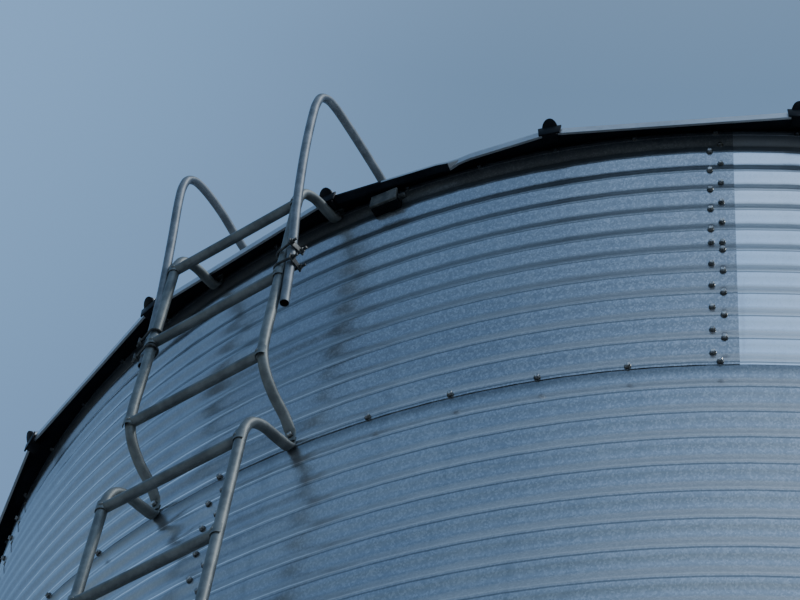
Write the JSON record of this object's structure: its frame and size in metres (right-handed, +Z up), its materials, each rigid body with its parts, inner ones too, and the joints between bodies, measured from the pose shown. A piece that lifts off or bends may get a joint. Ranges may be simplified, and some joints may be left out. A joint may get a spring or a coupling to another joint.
{
  "type": "grain silo",
  "caption": "Corrugated galvanised steel grain silo, 18 ft across and seven rings high, with a ribbed cone roof, an outside tubular ladder and two handrail loops over the eave.",
  "frame": {"origin": "middle of the object's bounding box, at ground level; the shell's own axis is 74 mm behind it because the ladder stands out at the front", "axes": "+Z up the shell's axis; -Y to the front, where the ladder is"},
  "size_m": [5.647, 5.7954, 9.4368],
  "materials": {
    "wall_sheet": "satin galvanised, spangled",
    "roof_sheet": "weathered galvanised",
    "base_steel": "weathered galvanised",
    "ladder_tube": "dull galvanised tube",
    "clamp_steel": "dark weathered zinc",
    "box_plastic": "matte"
  },
  "bodies": {
    "root": {"base_angle_a": "base_steel", "base_angle_b": "base_steel", "base_angle_c": "base_steel", "wall_ring_1a": "wall_sheet", "wall_ring_1b": "wall_sheet", "wall_ring_1c": "wall_sheet", "wall_ring_2a": "wall_sheet", "wall_ring_2b": "wall_sheet", "wall_ring_2c": "wall_sheet", "wall_ring_3a": "wall_sheet", "wall_ring_3b": "wall_sheet", "wall_ring_3c": "wall_sheet", "wall_ring_4a": "wall_sheet", "wall_ring_4b": "wall_sheet", "wall_ring_4c": "wall_sheet", "wall_ring_5a": "wall_sheet", "wall_ring_5b": "wall_sheet", "wall_ring_5c": "wall_sheet", "wall_ring_6a": "wall_sheet", "wall_ring_6b": "wall_sheet", "wall_ring_6c": "wall_sheet", "wall_ring_7a": "wall_sheet", "wall_ring_7b": "wall_sheet", "wall_ring_7c": "wall_sheet", "roof_sector_1": "roof_sheet", "roof_sector_2": "roof_sheet", "roof_sector_3": "roof_sheet", "roof_sector_4": "roof_sheet", "roof_sector_5": "roof_sheet", "roof_sector_6": "roof_sheet", "peak_collar": "roof_sheet", "peak_lid": "roof_sheet", "ladder_section_1": "ladder_tube", "ladder_section_2": "ladder_tube", "ladder_section_3": "ladder_tube", "ladder_section_4": "ladder_tube", "ladder_section_5": "ladder_tube", "ladder_section_6": "ladder_tube", "ladder_section_7": "ladder_tube", "handrail_left": "ladder_tube", "handrail_right": "ladder_tube", "clamp_left_lower": "clamp_steel", "clamp_left_upper": "clamp_steel", "clamp_right_lower": "clamp_steel", "clamp_right_upper": "clamp_steel", "junction_box": "box_plastic"}
  },
  "joints": []
}
